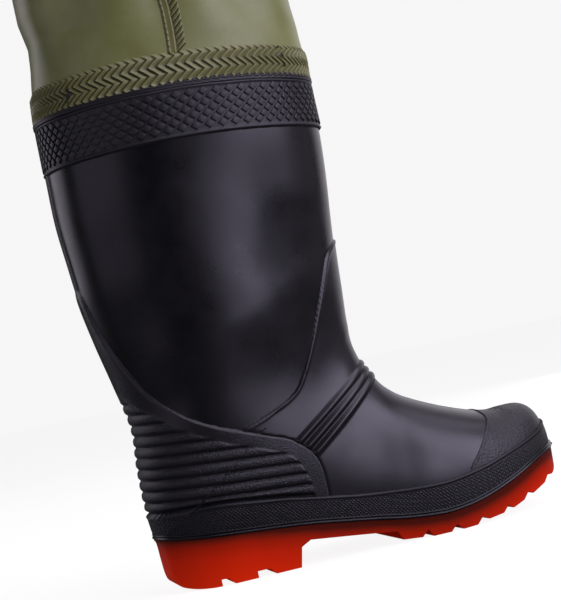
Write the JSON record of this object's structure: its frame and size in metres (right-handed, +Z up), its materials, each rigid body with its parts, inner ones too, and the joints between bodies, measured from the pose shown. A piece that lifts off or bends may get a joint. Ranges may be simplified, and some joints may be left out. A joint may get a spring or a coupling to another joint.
{
  "type": "wader boot",
  "caption": "Rubber boot of a pair of waders, with a lugged sole and the lower end of the coated cloth leg welded to its rim.",
  "frame": {"origin": "on the floor, on the flat of the middle lug of the heel, on the boot's middle plane", "axes": "+Z up along the shaft, +X to the toe, -Y is the outer side of the foot"},
  "size_m": [0.3374, 0.1202, 0.462],
  "materials": {
    "black_rubber": "satin, smooth on the shaft and textured on the foot",
    "red_rubber": "glossy, slightly clear",
    "inner_cloth": "matt felt",
    "green_cloth": "coated cloth, satin"
  },
  "bodies": {
    "root": {"upper": "black_rubber", "welt_bead": "black_rubber", "foxing": "black_rubber", "heel_counter": "black_rubber", "vamp_panel": "black_rubber", "toe_cap": "black_rubber", "collar_band": "black_rubber", "outsole": "red_rubber", "insole": "inner_cloth", "leg": "green_cloth", "weld_tape": "green_cloth", "leg_seam_tape": "green_cloth"}
  },
  "joints": []
}
